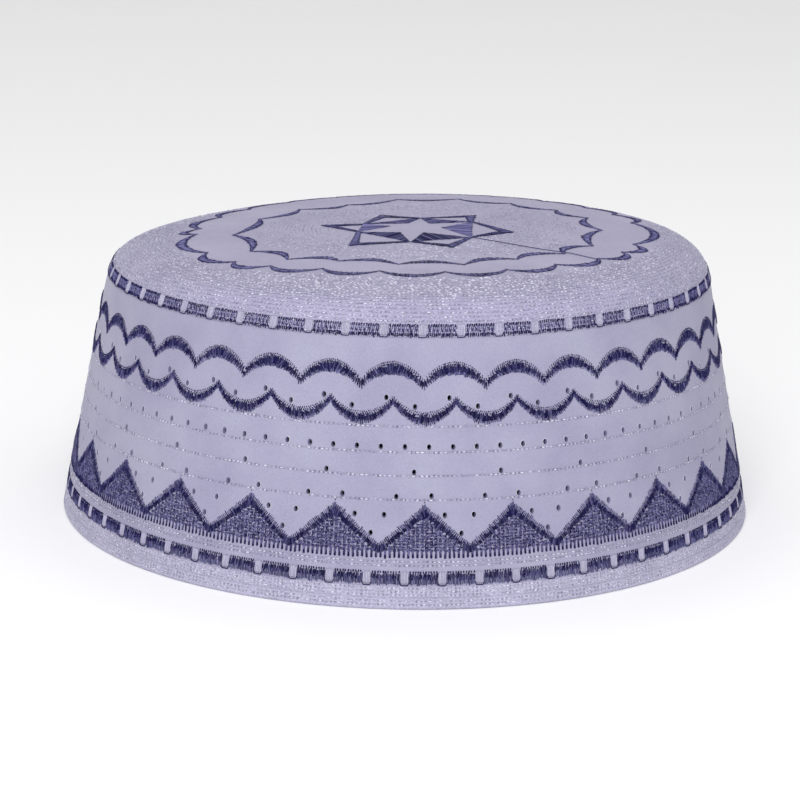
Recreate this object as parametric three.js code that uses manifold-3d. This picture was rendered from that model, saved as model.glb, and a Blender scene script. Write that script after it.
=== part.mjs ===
// A round prayer cap of stiff quilted cloth with embroidered rows. Millimetres, +Z up.
// The origin is the centre of the rim, on the surface that the cap rests on, and the front faces -Y.
// A turn is an angle in degrees round the cap: 0 at the front, 90 towards +X.

import * as THREE from 'three';
import { mergeVertices } from 'three/addons/utils/BufferGeometryUtils.js';
import Module from 'manifold-3d';

// Main sizes of the cap
const rimRadius = 95;
const sideLean = 11.3; // degrees that the side leans inward
const hemHeight = 5.4; // height of the seam between the hem and the side band
const seamHeight = 64.9; // height of the seam between the side band and the crown
const crownRise = 11.8; // height of the top above the crown's seam
const shoulderDrop = 12.9; // how far below the crown's seam the side starts to turn in
const capHeight = seamHeight + crownRise;
const shoulderFoot = seamHeight - shoulderDrop;
const clothThickness = 2;
const hemThickness = 2.6;
const hemRound = 0.75; // bevel of the hem's lower edges
const pieceGap = 0.3; // clearance that every piece keeps to its neighbours

// Form of the crown: how tightly the shoulder turns, and how full it stays towards front and back
const shoulderTightness = 7.5;
const backFullness = 1.8;
const frontFullness = 11;
const flatRadius = rimRadius - 23; // plan radius where the shoulder gives way to the top
const crownShiftX = 4.7; // the soft top sits off the axis of the rim
const crownShiftY = -2.9;
const crownSlopeX = 0.0144; // slope of the top towards +X and +Y
const crownSlopeY = 0.0275;
const shiftSpan = 20; // width of the ring over which the shift and rise build up

// Relief of the thread above the cloth
const threadRelief = 0.5;
const joinThread = 0.6; // height of the thread that runs on between two dashes
const dashEdge = 0.1; // run of a dash's sloping ends

// Rows on the side: copies round it, the turn of the first copy, and the row's own sizes.
// Dashes stand on a seam, scallops hang below the crown's seam, and the zigzag stands above the hem's.
const upperDash = { copies: 55, turn: 2.2, seam: seamHeight, foot: 0, tall: 3.1, gap: 2.2 };
const lowerDash = { copies: 64, turn: 0, seam: hemHeight, foot: 0.5, tall: 3.4, gap: 2.1 };
const upperScallop = { copies: 35, turn: 2.6, drop: 12, rise: 5.3, crest: 2.8, tip: 0.8 };
const lowerScallop = { copies: 35, turn: -2.3, drop: 15.1, rise: -5.5, crest: 2.5, tip: 0.8 };
const zigzag = { copies: 26, turn: -4, base: 6.8, valley: 10.8, apex: 19.6 };
const eyelets = { copies: 94, turn: -0.1, height: 38.8, radius: 0.6 };

// Motif of the crown, about its own centre on the top
const motifX = 2.2;
const motifY = 0;
const outerRing = { radius: 60, bulge: 4.3, crest: 2.5, tip: 0.8 };
const innerRing = { radius: 49, bulge: -4.3, crest: 2.5, tip: 0.8 };
const star = { radius: 25, turn: 22, offsetY: -4.3, line: 1.6, core: 8.5 };

// Cusps of the two rings on the crown: turn about the motif's centre, and share of the ring's radius
const outerCusps = [
  { turn: -142, share: 1.01 },
  { turn: -127, share: 1 },
  { turn: -112, share: 0.99 },
  { turn: -94, share: 0.98 },
  { turn: -85, share: 0.99 },
  { turn: -61, share: 1.04 },
  { turn: -49, share: 1.04 },
  { turn: -38, share: 1 },
  { turn: -25, share: 0.94 },
  { turn: -10, share: 0.91 },
  { turn: 7, share: 0.92 },
  { turn: 23, share: 0.95 },
  { turn: 37, share: 0.97 },
  { turn: 50, share: 1 },
  { turn: 60, share: 1.02 },
  { turn: 70, share: 1.01 },
  { turn: 101, share: 1.01 },
  { turn: 114, share: 1.02 },
  { turn: 128, share: 1.02 },
  { turn: 143, share: 1.02 },
  { turn: 158, share: 1.02 },
  { turn: 173, share: 1.02 },
  { turn: 188, share: 1.02 },
  { turn: 203, share: 1.02 },
];
const innerCusps = [
  { turn: -78, share: 1.04 },
  { turn: -54, share: 1.1 },
  { turn: -39, share: 1.09 },
  { turn: -25, share: 0.98 },
  { turn: -6, share: 0.97 },
  { turn: 14, share: 1 },
  { turn: 32, share: 0.99 },
  { turn: 48, share: 1.05 },
  { turn: 62, share: 1.07 },
  { turn: 86, share: 1.03 },
  { turn: 108, share: 1.03 },
  { turn: 125, share: 1 },
  { turn: 145, share: 0.97 },
  { turn: 165, share: 0.97 },
  { turn: 187, share: 0.92 },
  { turn: 210, share: 0.82 },
  { turn: 230, share: 0.9 },
  { turn: 254, share: 0.94 },
];

// Fineness of the facets
const roundSteps = Math.ceil(eyelets.copies / 2); // facets round each wall, two eyelets to a facet
const sideShares = [0, 0.8, 1]; // rows up the side band
const shoulderShares = [0, 0.35, 0.65, 0.88, 1]; // rows up the shoulder
const topShares = [0.86, 0.68, 0.45, 0.22, 0]; // rows from the shoulder in to the centre
const scallopShares = [0, 0.14, 0.5, 0.86]; // stations along one scallop
const zigzagShares = [0, 0.5]; // stations along one triangle

const clothMaterial = new THREE.MeshStandardMaterial({ color: 0xc3c1dc, roughness: 0.85, metalness: 0 });
const quiltMaterial = new THREE.MeshStandardMaterial({ color: 0xbdbbd2, roughness: 0.9, metalness: 0 });
const threadMaterial = new THREE.MeshStandardMaterial({ color: 0x3d3870, roughness: 0.5, metalness: 0 });

const radians = THREE.MathUtils.degToRad;
const leanRun = Math.tan(radians(sideLean));

// Radius of the straight side, carried on above the shoulder as the line that the crown bends from
function wallRadius(height) {
  return rimRadius - leanRun * height;
}

// Fullness of the crown on one side of the cap
function fullness(turn) {
  const frontShare = (1 + Math.cos(radians(turn))) / 2;
  return backFullness + (frontFullness - backFullness) * frontShare ** 2;
}

// Radius of the outer surface at a height: straight up to the shoulder, then a rounded crown
function outerRadius(turn, height) {
  const rise = Math.max(0, (height - shoulderFoot) / (capHeight - shoulderFoot));
  return wallRadius(height) * (1 - Math.min(1, rise) ** shoulderTightness) ** (1 / fullness(turn));
}

// Height of the crown over a plan radius, found by halving
function crownHeight(turn, radius) {
  let low = shoulderFoot;
  let high = capHeight;
  for (let halving = 0; halving < 40; halving += 1) {
    const middle = (low + high) / 2;
    if (outerRadius(turn, middle) > radius) {
      low = middle;
    } else {
      high = middle;
    }
  }
  return (low + high) / 2;
}

// The soft top leans: a point of the round form moves to its place on the real cap
function settle(turn, radius, height) {
  const x = radius * Math.sin(radians(turn));
  const y = -radius * Math.cos(radians(turn));
  const share = THREE.MathUtils.smoothstep(wallRadius(shoulderFoot) - radius, 0, shiftSpan);
  const lift = crownSlopeX * x + crownSlopeY * y;
  return new THREE.Vector3(x + crownShiftX * share, y + crownShiftY * share, height + lift * share);
}

// A place on the side or shoulder, by turn and height
function sidePlace(turn, height) {
  return settle(turn, outerRadius(turn, height), height);
}

// A place on the top, by its plan before the top leans
function topPlace(x, y) {
  const radius = Math.hypot(x, y);
  const turn = THREE.MathUtils.radToDeg(Math.atan2(x, -y));
  return settle(turn, radius, crownHeight(turn, radius));
}

// A place on the top, by turn and reach about the centre of the motif
function motifPlace(turn, reach) {
  const x = motifX - crownShiftX + reach * Math.sin(radians(turn));
  const y = motifY - crownShiftY - reach * Math.cos(radians(turn));
  return topPlace(x, y);
}

// A place lifted off the outer surface along its normal; flip is -1 where first x second points inward
function lifted(place, first, second, height, flip = 1) {
  const step = 0.05;
  const across = place(first + step, second).sub(place(first - step, second));
  const along = place(first, second + step).sub(place(first, second - step));
  const normal = across.cross(along).normalize();
  return place(first, second).addScaledVector(normal, height * flip);
}

function onSide(turn, height, lift) {
  return lifted(sidePlace, turn, height, lift);
}

function onTop(x, y, lift) {
  return lifted(topPlace, x, y, lift);
}

function onMotif(turn, reach, lift) {
  return lifted(motifPlace, turn, reach, lift, -1);
}

// A closed solid through stations round the cap, each a closed loop of points; flat triangles drop out
function solidThrough(stations) {
  const corners = [];
  const triangle = new THREE.Triangle();
  const addTriangle = (a, b, c) => {
    if (triangle.set(a, b, c).getArea() > 1e-6) {
      corners.push(a, b, c);
    }
  };
  stations.forEach((here, index) => {
    const next = stations[(index + 1) % stations.length];
    here.forEach((point, corner) => {
      const after = (corner + 1) % here.length;
      addTriangle(point, next[corner], next[after]);
      addTriangle(point, next[after], here[after]);
    });
  });
  const geometry = mergeVertices(new THREE.BufferGeometry().setFromPoints(corners), 1e-4);
  geometry.computeVertexNormals();
  return geometry;
}

// The turns of the facet edges round a wall, midway between eyelets
function wallTurns() {
  const first = eyelets.turn - 180 / eyelets.copies;
  return Array.from({ length: roundSteps }, (_, index) => first + (index * 360) / roundSteps);
}

function crownGeometry() {
  const edge = seamHeight + pieceGap / 2;
  const stations = wallTurns().map((turn) => {
    const foot = crownHeight(turn, flatRadius);
    const wall = (lift) => {
      const shoulder = shoulderShares.map((share) => onSide(turn, edge + (foot - edge) * share, lift));
      const top = topShares.map((share) => {
        const radius = flatRadius * share;
        return onTop(radius * Math.sin(radians(turn)), -radius * Math.cos(radians(turn)), lift);
      });
      return [...shoulder, ...top];
    };
    return [...wall(-clothThickness), ...wall(0).reverse()];
  });
  return solidThrough(stations.reverse());
}

function sideBandGeometry() {
  const low = hemHeight + pieceGap / 2;
  const high = seamHeight - pieceGap / 2;
  const stations = wallTurns().map((turn) => {
    const wall = (lift) => sideShares.map((share) => onSide(turn, low + (high - low) * share, lift));
    return [...wall(0), ...wall(-clothThickness).reverse()];
  });
  return solidThrough(stations);
}

// The folded hem: flat underneath, with both lower edges bevelled
function hemGeometry() {
  const top = hemHeight - pieceGap / 2;
  const stations = wallTurns().map((turn) => [
    settle(turn, rimRadius - hemThickness + hemRound, 0),
    settle(turn, rimRadius - hemRound, 0),
    onSide(turn, hemRound, 0),
    onSide(turn, top, 0),
    onSide(turn, top, -hemThickness),
    settle(turn, wallRadius(hemRound) - hemThickness, hemRound),
  ]);
  return solidThrough(stations);
}

// One station of a raised line of thread with a rounded back
function threadSection(place, turn, low, high) {
  return [
    place(turn, low, pieceGap),
    place(turn, (low + high) / 2, pieceGap + threadRelief),
    place(turn, high, pieceGap),
  ];
}

// A dash row: short satin bars with one thread running on between them
function dashRowGeometry({ copies, turn, seam, foot, tall, gap }) {
  const pitch = 360 / copies;
  const low = seam + foot;
  const high = low + tall;
  const perMillimetre = THREE.MathUtils.radToDeg(1 / outerRadius(turn, low));
  const edge = dashEdge * perMillimetre;
  const half = (gap / 2) * perMillimetre;
  const stations = [];
  for (let copy = 0; copy < copies; copy += 1) {
    const from = turn + copy * pitch + half;
    const to = turn + (copy + 1) * pitch - half;
    stations.push(threadSection(onSide, from - edge, low, low + joinThread));
    stations.push(threadSection(onSide, from + edge, low, high));
    stations.push(threadSection(onSide, to - edge, low, high));
    stations.push(threadSection(onSide, to + edge, low, low + joinThread));
  }
  return solidThrough(stations);
}

// Height of an arch of unit rise at a share of its span
function arch(share) {
  return Math.sqrt(1 - (2 * share - 1) ** 2);
}

// A row of scallops: crescents that swell from cusp to crest
function scallopRowGeometry({ copies, turn, drop, rise, crest, tip }) {
  const pitch = 360 / copies;
  const cusp = seamHeight - drop;
  const stations = [];
  for (let copy = 0; copy < copies; copy += 1) {
    scallopShares.forEach((share) => {
      const middle = cusp + (rise - (Math.sign(rise) * crest) / 2) * arch(share);
      const half = (tip + (crest - tip) * arch(share)) / 2;
      stations.push(threadSection(onSide, turn + (copy + share) * pitch, middle - half, middle + half));
    });
  }
  return solidThrough(stations);
}

// The zigzag: filled triangles on a straight base, raised with a flat face
function zigzagGeometry({ copies, turn, base, valley, apex }) {
  const pitch = 360 / copies;
  const stations = [];
  for (let copy = 0; copy < copies; copy += 1) {
    zigzagShares.forEach((share) => {
      const at = turn + (copy + share) * pitch;
      const low = hemHeight + base;
      const high = hemHeight + valley + (apex - valley) * (1 - Math.abs(2 * share - 1));
      stations.push([
        onSide(at, low, pieceGap),
        onSide(at, low, pieceGap + threadRelief),
        onSide(at, high, pieceGap + threadRelief),
        onSide(at, high, pieceGap),
      ]);
    });
  }
  return solidThrough(stations);
}

// A scalloped ring on the crown, arc by arc from cusp to cusp
function crownRingGeometry(cusps, { radius, bulge, crest, tip }) {
  const stations = [];
  cusps.forEach((cusp, index) => {
    const last = index === cusps.length - 1;
    const next = cusps[last ? 0 : index + 1];
    const nextTurn = last ? next.turn + 360 : next.turn;
    scallopShares.forEach((share) => {
      const turn = cusp.turn + (nextTurn - cusp.turn) * share;
      const reach = radius * (cusp.share + (next.share - cusp.share) * share) + bulge * arch(share);
      const half = (tip + (crest - tip) * arch(share)) / 2;
      stations.push(threadSection(onMotif, turn, reach + half, reach - half));
    });
  });
  return solidThrough(stations);
}

// The point at a reach and turn in the plan of the star
function starPoint(reach, turn) {
  return new THREE.Vector2(reach * Math.sin(radians(turn)), -reach * Math.cos(radians(turn)));
}

// The six-pointed star: an outlined hexagram, its hexagon filled round a pale inner star
function starGeometry() {
  const waist = star.radius / Math.sqrt(3);
  const points = Array.from({ length: 6 }, (_, index) => star.turn + index * 60);
  const outline = points.flatMap((turn) => [
    starPoint(star.radius, turn),
    starPoint(waist + star.line / 2, turn + 30),
  ]);
  const shape = new THREE.Shape(outline);
  points.forEach((turn) => {
    const tip = starPoint(star.radius - star.line * 2, turn);
    const left = starPoint(waist, turn - 30);
    const right = starPoint(waist, turn + 30);
    const base = left.clone().add(right).multiplyScalar(0.5);
    const outward = base.clone().normalize().multiplyScalar(star.line / 2);
    const inset = 1 - (star.line * 2) / waist;
    const corner = (point) => point.clone().lerp(base, 1 - inset).add(outward);
    shape.holes.push(new THREE.Path([tip, corner(left), corner(right)]));
  });
  const core = points.flatMap((turn) => [
    starPoint(star.core, turn),
    starPoint(waist - star.line, turn + 30),
  ]);
  shape.holes.push(new THREE.Path(core));
  const flat = new THREE.ExtrudeGeometry(shape, { depth: threadRelief, bevelEnabled: false });
  const places = flat.getAttribute('position');
  for (let index = 0; index < places.count; index += 1) {
    const x = motifX - crownShiftX + places.getX(index);
    const y = motifY + star.offsetY - crownShiftY + places.getY(index);
    const point = onTop(x, y, pieceGap + places.getZ(index));
    places.setXYZ(index, point.x, point.y, point.z);
  }
  flat.deleteAttribute('normal');
  flat.deleteAttribute('uv');
  const geometry = mergeVertices(flat, 1e-4);
  geometry.computeVertexNormals();
  return geometry;
}

// Eyelets pierced through the side band: one four-sided pin for each, square to the cloth
function eyeletPins({ copies, turn, height, radius }) {
  const up = new THREE.Vector3(0, 1, 0);
  return Array.from({ length: copies }, (_, index) => {
    const at = turn + (index * 360) / copies;
    const middle = onSide(at, height, -clothThickness / 2);
    const direction = onSide(at, height, 1).sub(onSide(at, height, 0));
    const pin = new THREE.CylinderGeometry(radius, radius, clothThickness * 2, 4);
    pin.applyQuaternion(new THREE.Quaternion().setFromUnitVectors(up, direction));
    pin.translate(middle.x, middle.y, middle.z);
    return pin;
  });
}

const wasm = await Module();
wasm.setup();

function toManifold(geometry) {
  const bare = geometry.clone();
  bare.deleteAttribute('normal');
  bare.deleteAttribute('uv');
  const merged = mergeVertices(bare, 1e-4);
  return new wasm.Manifold(new wasm.Mesh({
    numProp: 3,
    vertProperties: new Float32Array(merged.getAttribute('position').array),
    triVerts: new Uint32Array(merged.getIndex().array),
  }));
}

function toGeometry(solid) {
  const mesh = solid.getMesh();
  const geometry = new THREE.BufferGeometry();
  geometry.setAttribute('position', new THREE.BufferAttribute(new Float32Array(mesh.vertProperties), 3));
  geometry.setIndex(new THREE.BufferAttribute(new Uint32Array(mesh.triVerts), 1));
  geometry.computeVertexNormals();
  return geometry;
}

function pierced(geometry, pins) {
  return toGeometry(pins.reduce((wall, pin) => wall.subtract(toManifold(pin)), toManifold(geometry)));
}

const cap = new THREE.Group();

function addPiece(name, geometry, material) {
  const mesh = new THREE.Mesh(geometry, material.clone());
  mesh.name = name;
  cap.add(mesh);
}

addPiece('crown', crownGeometry(), quiltMaterial);
addPiece('side_band', pierced(sideBandGeometry(), eyeletPins(eyelets)), clothMaterial);
addPiece('hem_band', hemGeometry(), quiltMaterial);
addPiece('upper_dash_embroidery', dashRowGeometry(upperDash), threadMaterial);
addPiece('upper_scallop_embroidery', scallopRowGeometry(upperScallop), threadMaterial);
addPiece('lower_scallop_embroidery', scallopRowGeometry(lowerScallop), threadMaterial);
addPiece('zigzag_embroidery', zigzagGeometry(zigzag), threadMaterial);
addPiece('lower_dash_embroidery', dashRowGeometry(lowerDash), threadMaterial);
addPiece('crown_outer_scallops', crownRingGeometry(outerCusps, outerRing), threadMaterial);
addPiece('crown_inner_scallops', crownRingGeometry(innerCusps, innerRing), threadMaterial);
addPiece('crown_star', starGeometry(), threadMaterial);

export default cap;
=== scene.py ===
import math
import bpy
import numpy as np
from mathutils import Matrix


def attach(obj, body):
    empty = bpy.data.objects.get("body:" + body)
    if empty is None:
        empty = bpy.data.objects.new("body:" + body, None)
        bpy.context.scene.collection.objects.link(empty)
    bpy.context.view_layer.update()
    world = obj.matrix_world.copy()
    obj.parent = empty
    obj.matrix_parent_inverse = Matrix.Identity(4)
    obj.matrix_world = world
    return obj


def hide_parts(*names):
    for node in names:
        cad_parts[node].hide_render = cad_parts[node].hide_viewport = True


# An embroidered prayer cap of stiff quilted cloth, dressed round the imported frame. Metres, +Z up.
# A turn is an angle round the cap: 0 at the front (-Y), 90 degrees towards +X.

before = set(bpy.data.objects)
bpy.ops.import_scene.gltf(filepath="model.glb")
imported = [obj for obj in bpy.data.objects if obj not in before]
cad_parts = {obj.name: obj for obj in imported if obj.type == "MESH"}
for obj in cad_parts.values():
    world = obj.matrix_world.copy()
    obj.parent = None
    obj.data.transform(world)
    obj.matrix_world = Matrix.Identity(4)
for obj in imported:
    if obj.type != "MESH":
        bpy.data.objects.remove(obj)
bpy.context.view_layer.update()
mm = 0.001
fullTurn = 2 * math.pi

capForm = {
    "rimRadius": 95 * mm,
    "sideLean": 11.3,  # degrees that the side leans inward
    "seamHeight": 64.9 * mm,  # seam between the side and the crown
    "topHeight": 76.7 * mm,
    "shoulderFoot": 52 * mm,  # where the side starts to turn in
    "shoulderTightness": 7.5,
    "backFullness": 1.8,
    "frontFullness": 11,
    "shiftX": 4.7 * mm,  # the soft top sits off the axis of the rim
    "shiftY": -2.9 * mm,
    "slopeX": 0.0144,
    "slopeY": 0.0275,
    "shiftSpan": 20 * mm,
    "clothThickness": 2 * mm,
    "hemThickness": 2.6 * mm,
    "heart": 30 * mm,  # height of a point well inside
    "motifX": 2.2 * mm,
    "motifY": 0,
}
leanRun = math.tan(math.radians(capForm["sideLean"]))
shoulderSpan = capForm["topHeight"] - capForm["shoulderFoot"]


# the surface of the cap

def wallRadius(height):
    return capForm["rimRadius"] - leanRun * height


def fullness(turn):
    frontShare = (1 + np.cos(turn)) / 2
    return capForm["backFullness"] + (capForm["frontFullness"] - capForm["backFullness"]) * frontShare ** 2


def outerRadius(turn, height):
    rise = np.clip((height - capForm["shoulderFoot"]) / shoulderSpan, 0, 1)
    return wallRadius(height) * (1 - rise ** capForm["shoulderTightness"]) ** (1 / fullness(turn))


def crownHeight(turn, radius):  # found by halving
    low = np.full(radius.shape, capForm["shoulderFoot"])
    high = np.full(radius.shape, capForm["topHeight"])
    for halving in range(32):
        middle = (low + high) / 2
        outside = outerRadius(turn, middle) > radius
        low, high = np.where(outside, middle, low), np.where(outside, high, middle)
    return (low + high) / 2


def settle(turn, radius, height):  # the soft top leans off the round form
    x, y = radius * np.sin(turn), -radius * np.cos(turn)
    share = np.clip((wallRadius(capForm["shoulderFoot"]) - radius) / capForm["shiftSpan"], 0, 1)
    share = share * share * (3 - 2 * share)
    lift = capForm["slopeX"] * x + capForm["slopeY"] * y
    return np.stack([x + capForm["shiftX"] * share, y + capForm["shiftY"] * share, height + lift * share], -1)


def topSpot(x, y):
    turn = np.arctan2(x, -y)
    radius = np.hypot(x, y)
    return settle(turn, radius, crownHeight(turn, radius))


def motifSpot(x, y):  # a place on the top, from the centre of its motif
    return topSpot(x + capForm["motifX"] - capForm["shiftX"], y + capForm["motifY"] - capForm["shiftY"])


def rowRadius(height):
    return float(outerRadius(np.array(0.0), np.array(height)))


def turnSpot(turn, height):
    return settle(turn, outerRadius(turn, height), height)


def sideSpot(height):  # places near one row of the side, by run along the row and height
    radius = rowRadius(height)
    return lambda run, up: turnSpot(run / radius, up)


def framed(spot, u, v, step=0.04 * mm):  # the point and its normal, which faces away from the inside
    point = spot(u, v)
    normal = np.cross(spot(u + step, v) - spot(u - step, v), spot(u, v + step) - spot(u, v - step))
    normal /= np.linalg.norm(normal, axis=-1, keepdims=True)
    outward = point - np.array([0, 0, capForm["heart"]])
    facing = np.sign(np.sum(normal * outward, -1, keepdims=True))
    return point, normal * facing


# the crown's meridians, walked from the seam in to the centre

meridians = {"turns": 320, "samples": 700, "crowding": 3, "shares": 600}


def walkMeridians():
    turn = np.arange(meridians["turns"] + 1) * fullTurn / meridians["turns"]
    full = fullness(turn)
    seamRise = (capForm["seamHeight"] - capForm["shoulderFoot"]) / shoulderSpan
    atSeam = (1 - seamRise ** capForm["shoulderTightness"]) ** (1 / full)
    inward = np.linspace(0, 1, meridians["samples"]) ** meridians["crowding"]
    share = atSeam[:, None] * (1 - inward)[None, :]
    rise = (1 - share ** full[:, None]) ** (1 / capForm["shoulderTightness"])
    height = capForm["shoulderFoot"] + rise * shoulderSpan
    points = settle(turn[:, None] + 0 * height, wallRadius(height) * share, height)
    even = np.linspace(0, 1, meridians["shares"])
    table = np.empty((len(turn), len(even), 3))
    lengths = np.empty(len(turn))
    for index, line in enumerate(points):
        walked = np.concatenate([[0], np.cumsum(np.linalg.norm(np.diff(line, axis=0), axis=1))])
        lengths[index] = walked[-1]
        for axis in range(3):
            table[index, :, axis] = np.interp(even, walked / walked[-1], line[:, axis])
    return table, float(lengths.mean())


crownTable, meridianLength = walkMeridians()


def crownSpot(turn, share):  # turn in radians; share 0 at the seam, 1 at the centre
    a = (turn / fullTurn) % 1 * meridians["turns"]
    b = np.clip(share, 0, 1) * (meridians["shares"] - 1)
    a0 = np.minimum(a.astype(int), meridians["turns"] - 1)
    b0 = np.minimum(b.astype(int), meridians["shares"] - 2)
    fa, fb = (a - a0)[..., None], (b - b0)[..., None]
    near = crownTable[a0, b0] * (1 - fb) + crownTable[a0, b0 + 1] * fb
    far = crownTable[a0 + 1, b0] * (1 - fb) + crownTable[a0 + 1, b0 + 1] * fb
    return near * (1 - fa) + far * fa


# layers of thread: how deep each starts and ends, as shares of the way between its edges, its pitch,
# girth and lift in mm, its shade, and how far the depths and the shade vary
def threadLayers(*rows):
    columns = ("near", "far", "pitch", "girth", "lift", "shade", "loose", "mottle")
    return [dict(zip(columns, row)) for row in rows]


# where the crown's motifs lie: cusps by turn in degrees and share of the ring's radius

crownRings = {
    "outer": {
        "radius": 60 * mm, "bulge": 4.2 * mm, "seed": 61,
        "cusps": [(-142, 1.01), (-127, 1), (-112, 0.987), (-93, 0.986), (-85, 0.995), (-61, 1.041),
                  (-48, 1.045), (-38, 1.004), (-25, 0.943), (-10, 0.912), (7, 0.921), (23, 0.947),
                  (37, 0.965), (50, 1.003), (60, 1.021), (70, 1.008), (101, 1.007), (115, 1.016),
                  (128, 1.02), (143, 1.02), (158, 1.02), (173, 1.02), (188, 1.02), (203, 1.02)],
    },
    "inner": {
        "radius": 49 * mm, "bulge": -4.2 * mm, "seed": 62,
        "cusps": [(-78, 1.04), (-54, 1.1), (-39, 1.09), (-25, 0.98), (-6, 0.97), (14, 1), (32, 0.99),
                  (48, 1.05), (62, 1.07), (86, 1.03), (108, 1.03), (125, 1), (145, 0.97), (165, 0.97),
                  (187, 0.92), (210, 0.82), (230, 0.9), (254, 0.94)],
    },
    "depth": 2.6 * mm,
    "slimmer": 0.15,  # from the front to the sides
    "tipShare": 0.24,
    "flatness": 0.5,
    "layers": threadLayers((0.0, 1.0, 0.36, 0.38, 0.1, 0.6, 0.09, 0.36),
                           (-0.03, 0.22, 0.42, 0.34, 0.15, 0.15, 0.07, 0.12),
                           (0.74, 1.06, 0.42, 0.34, 0.15, 0.12, 0.1, 0.12)),
    "jumpThread": {"girth": 0.22 * mm, "lift": 0.2 * mm, "shade": 0.3},
    # a loose thread from the star, in mm
    "jump": [(14.7, -15.1), (23.1, -22.0), (31.8, -29.1), (39.8, -34.1), (45.9, -40.0)],
}

starMotif = {  # in mm from the middle of the motif, counter-clockwise from the tip at the front right
    "tips": [(9.3, -27.5), (26.1, -8.3), (16.5, 15.3), (-10.1, 15.8), (-26.5, 0.4), (-18.1, -25.4)],
    "waists": [(14.7, -15.1), (15.4, 5.8), (0.9, 10.8), (-14.9, 2.4), (-16.4, -8.3), (-1.9, -20.8)],
    "cores": [(1.4, -8.1), (6.3, -2.2), (3.2, 2.9), (-2.3, 3.2), (-6.9, -0.4), (-4.4, -8.2)],
}


def ringReach(which, turn):  # how far a ring's cusps lie from the middle at a turn
    ring = crownRings[which]
    turns, reaches = np.array(ring["cusps"]).T
    return ring["radius"] * np.interp(np.degrees(turn), turns, reaches, period=360)


def insideStar(x, y):
    outline = np.array([point for pair in zip(starMotif["tips"], starMotif["waists"]) for point in pair]) * mm
    inside = np.zeros(x.shape, bool)
    for (x0, y0), (x1, y1) in zip(outline, np.roll(outline, -1, axis=0)):
        crosses = (y0 > y) != (y1 > y)
        inside ^= crosses & (x < (x1 - x0) * (y - y0) / (y1 - y0) + x0)
    return inside


quiltWear = {
    "outsideGap": 4 * mm, "outsideFade": 4 * mm,
    "withinGap": 5 * mm, "withinFade": 3 * mm,
    "outside": (0.75, 0.25), "within": (0.2, 0.45),  # what is even, and what comes in patches
    "waves": (310, 170, 260, 190),  # of the patches, in radians per metre
}


# how heavily the crown is quilted: fully outside the rings, in patches round the star, hardly between them
def quilting(point):
    x = point[..., 0] - capForm["motifX"]
    y = point[..., 1] - capForm["motifY"]
    turn, reach = np.arctan2(x, -y), np.hypot(x, y)
    outer, inner = ringReach("outer", turn), ringReach("inner", turn)
    outside = np.clip((reach - outer - quiltWear["outsideGap"]) / quiltWear["outsideFade"], 0, 1)
    within = np.clip((inner - quiltWear["withinGap"] - reach) / quiltWear["withinFade"], 0, 1)
    within = within * (1 - insideStar(x, y))
    a, b, c, d = quiltWear["waves"]
    patch = 0.5 + 0.25 * (np.sin(x * a + 2 * np.sin(y * b)) + np.sin(y * c + 2 * np.sin(x * d)))
    (even, patchy), (evenWithin, patchyWithin) = quiltWear["outside"], quiltWear["within"]
    return np.maximum(outside * (even + patchy * patch), within * (evenWithin + patchyWithin * patch))


# materials

def addNode(tree, kind, inputs=None, **settings):
    node = tree.nodes.new(kind)
    for key, value in settings.items():
        setattr(node, key, value)
    for key, value in (inputs or {}).items():
        if isinstance(value, bpy.types.NodeSocket):
            tree.links.new(value, node.inputs[key])
        else:
            node.inputs[key].default_value = value
    return node


def output(tree, kind, inputs=None, **settings):  # the first one of a new node
    return addNode(tree, kind, inputs, **settings).outputs[0]


def maths(tree, operation, first, second=0.0, third=0.0):
    return output(tree, "ShaderNodeMath", {0: first, 1: second, 2: third}, operation=operation)


def times(tree, first, second):
    return maths(tree, "MULTIPLY", first, second)


def mapped(tree, value, low, high, toLow=0.0, toHigh=1.0):
    inputs = {"Value": value, "From Min": low, "From Max": high, "To Min": toLow, "To Max": toHigh}
    return output(tree, "ShaderNodeMapRange", inputs)


def mixed(tree, share, first, second):  # two colours
    return addNode(tree, "ShaderNodeMix", {0: share, 6: first, 7: second}, data_type="RGBA").outputs[2]


def attributeOf(tree, name):
    return addNode(tree, "ShaderNodeAttribute", attribute_name=name).outputs["Fac"]


def layerAxes(tree, name):  # of a UV map
    layer = output(tree, "ShaderNodeUVMap", uv_map=name)
    return addNode(tree, "ShaderNodeSeparateXYZ", {"Vector": layer}).outputs


def tone(red, green, blue):  # from display values to linear light
    linear = [part / 255 / 12.92 if part <= 10 else ((part / 255 + 0.055) / 1.055) ** 2.4
              for part in (red, green, blue)]
    return (*linear, 1)


def newMaterial(name, roughness, sheen, sheenRoughness=0.5, specular=0.25):
    material = bpy.data.materials.new(name)
    material.use_nodes = True
    shader = material.node_tree.nodes["Principled BSDF"]
    for key, value in (("Roughness", roughness), ("Sheen Weight", sheen), ("Sheen Roughness", sheenRoughness),
                       ("Specular IOR Level", specular)):
        shader.inputs[key].default_value = value
    return material, material.node_tree, shader


def finishMaterial(tree, shader, colour, height, depth, strength):
    bump = addNode(tree, "ShaderNodeBump", {"Height": height, "Distance": depth, "Strength": strength})
    tree.links.new(colour, shader.inputs["Base Color"])
    tree.links.new(bump.outputs["Normal"], shader.inputs["Normal"])


def noiseOf(tree, vector, scale, detail=3.0, roughness=0.55):
    inputs = {"Vector": vector, "Scale": scale, "Detail": detail, "Roughness": roughness}
    return output(tree, "ShaderNodeTexNoise", inputs)


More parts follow.
